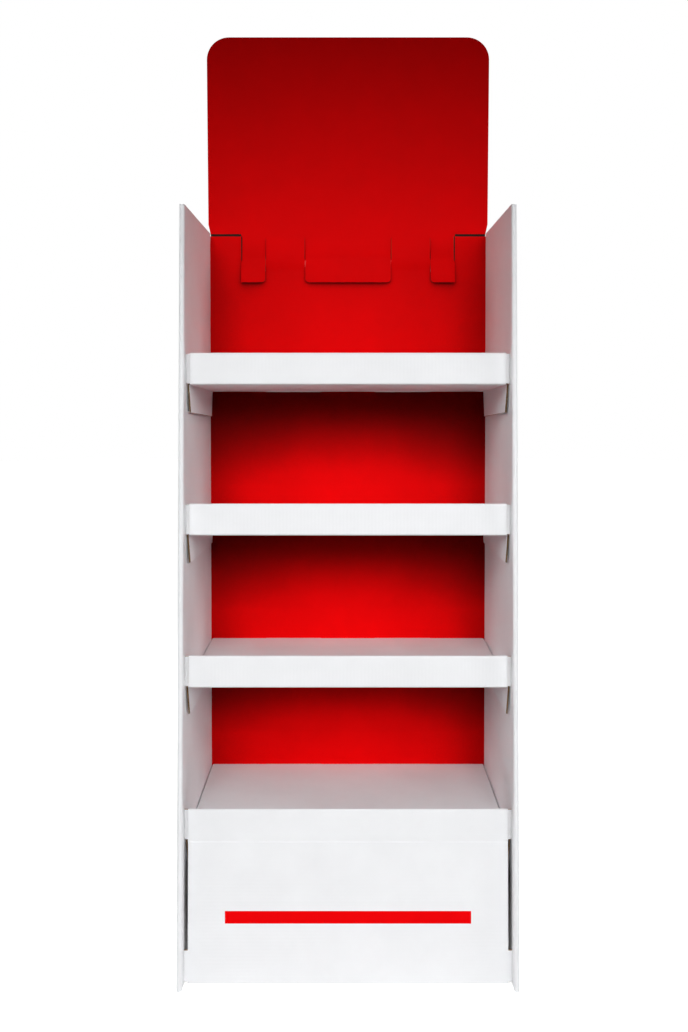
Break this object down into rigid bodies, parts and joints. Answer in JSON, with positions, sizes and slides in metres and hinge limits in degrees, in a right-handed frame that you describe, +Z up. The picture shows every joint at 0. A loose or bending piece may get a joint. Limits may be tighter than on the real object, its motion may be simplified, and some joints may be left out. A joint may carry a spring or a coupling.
{
  "type": "point of sale display stand",
  "caption": "Free-standing corrugated board display with a red back and header card, white double-wall sides, hooked shelf trays and a base tray with plinth front.",
  "frame": {"origin": "middle of the footprint, on the floor", "axes": "+Z up, +Y towards the back, the shopper stands on the -Y side, +X to the shopper's right"},
  "size_m": [0.6, 0.4, 1.79],
  "materials": {
    "white_board": "white clay-coated liner, matt",
    "red_board": "red printed liner, matt varnish",
    "brown_board": "bare kraft liner"
  },
  "bodies": {
    "root": {"side_panel_right": "white_board", "side_panel_left": "white_board", "back_panel": "red_board", "header_card": "red_board", "lower_tray": "white_board", "middle_tray": "white_board", "top_tray": "white_board", "base_tray": "white_board", "plinth_rib_left": "brown_board", "plinth_rib_right": "brown_board", "plinth_cross_rib": "brown_board"}
  },
  "joints": []
}
